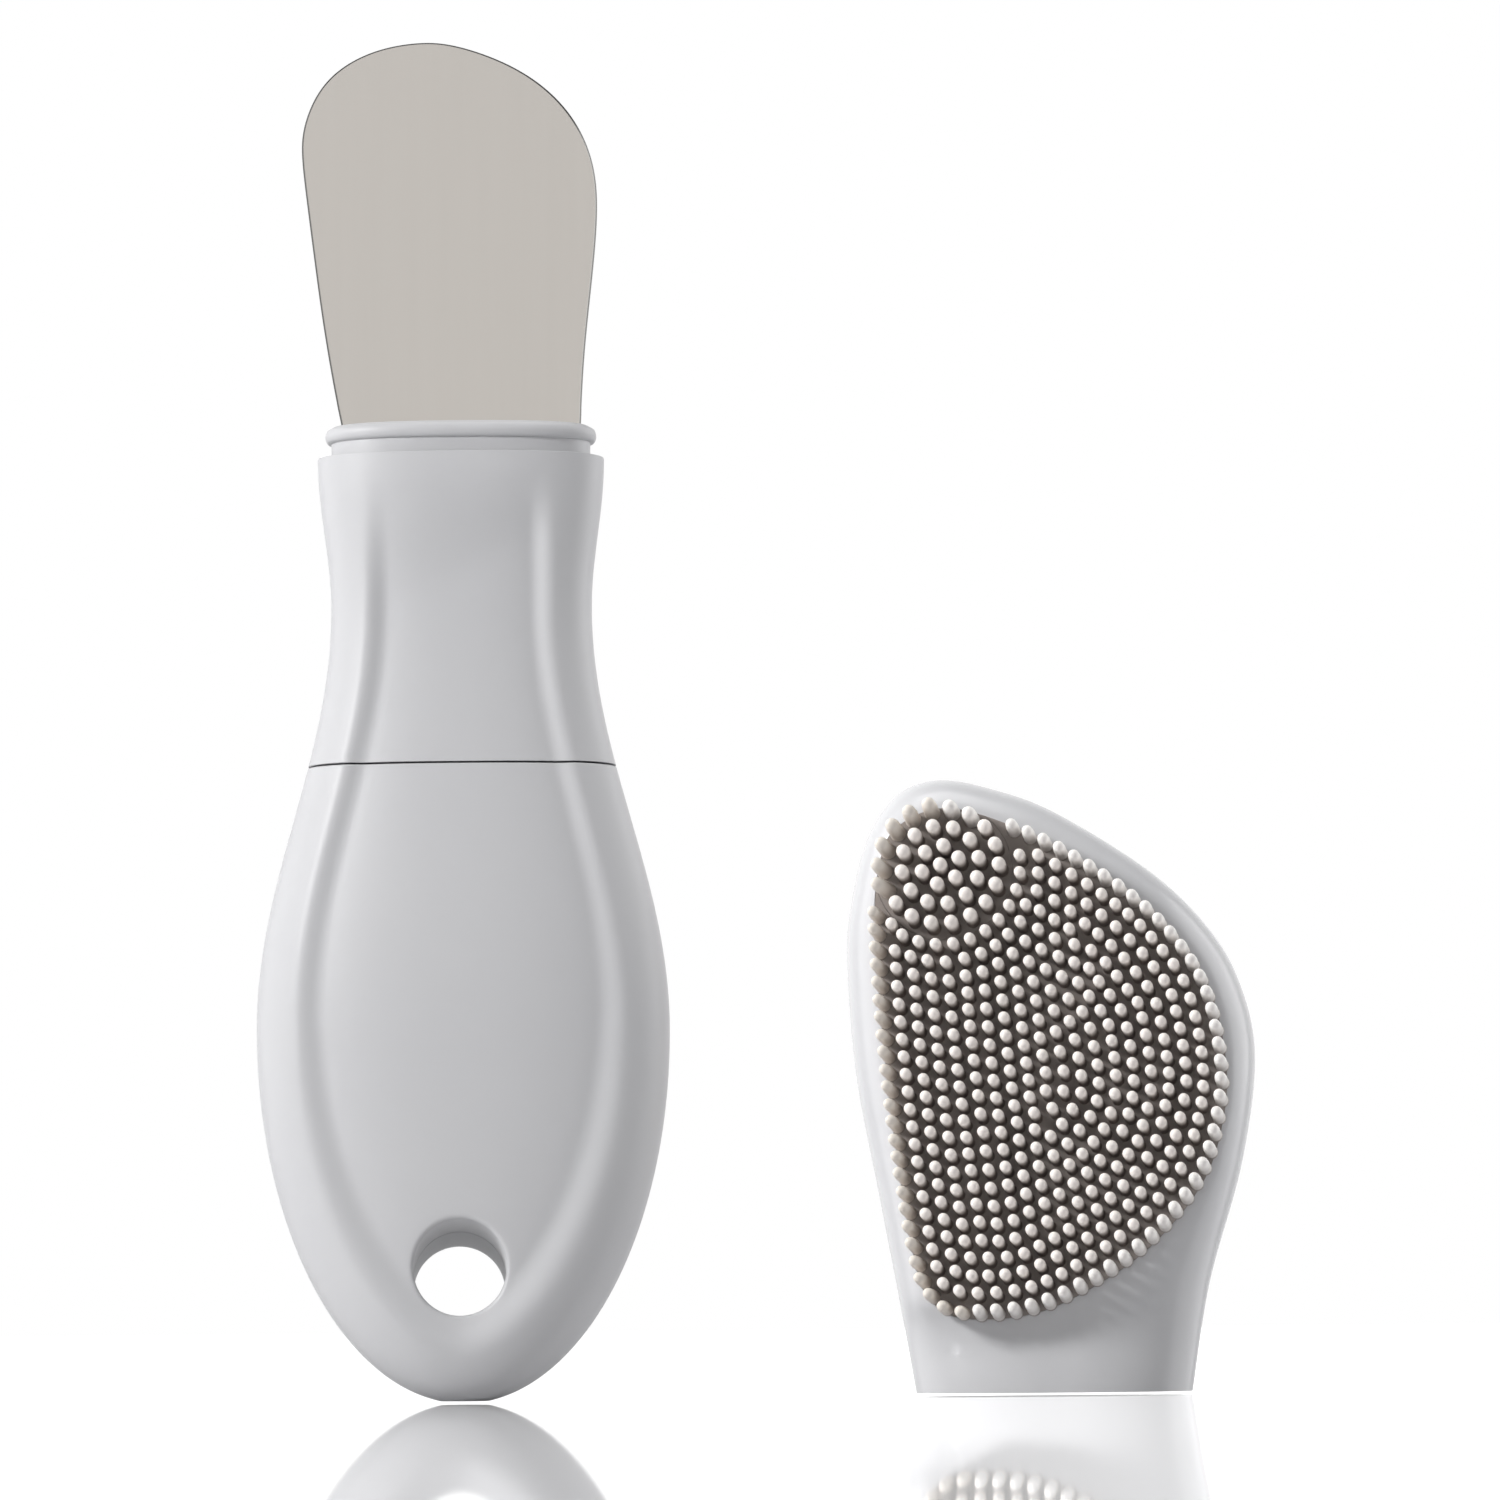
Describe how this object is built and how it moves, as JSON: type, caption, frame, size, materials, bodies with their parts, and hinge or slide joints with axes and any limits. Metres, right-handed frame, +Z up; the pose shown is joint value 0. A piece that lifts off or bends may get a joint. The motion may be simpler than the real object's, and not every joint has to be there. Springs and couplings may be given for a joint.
{
  "type": "pore cleaning brush",
  "caption": "Facial cleansing tool: waisted handle with a steel scraper blade and a hanging hole, beside its pull-off brush cap with a silicone bristle pad.",
  "frame": {"origin": "centre of the footprint of handle and cap, on the surface that both stand on", "axes": "+Z up along the handle to the blade's edge, +X from the handle to the cap, -Y the front with the sunk panel and the bristles"},
  "size_m": [0.101, 0.0454, 0.1356],
  "materials": {
    "satin_body_plastic": "satin, light grey-white",
    "collar_plastic": "satin",
    "gloss_cap_plastic": "glossy white",
    "brushed_steel": "fine satin",
    "silicone": "soft, warm white"
  },
  "bodies": {
    "handle": {"scraper_blade": "brushed_steel", "blade_carrier": "collar_plastic", "tang_pin_left": "brushed_steel", "tang_pin_right": "brushed_steel", "neck_sleeve": "satin_body_plastic", "handle_front_shell": "satin_body_plastic", "handle_back_shell": "satin_body_plastic"},
    "cap": {"cap_front_shell": "gloss_cap_plastic", "cap_back_shell": "gloss_cap_plastic", "pad_fine_zone": "silicone", "pad_coarse_zone": "silicone", "pad_retainer": "collar_plastic"}
  },
  "joints": [
    {"name": "cap_lift", "type": "slide", "parent": "handle", "child": "cap", "axis": [0, 0, 1], "range_m": [0, 0.065]}
  ]
}
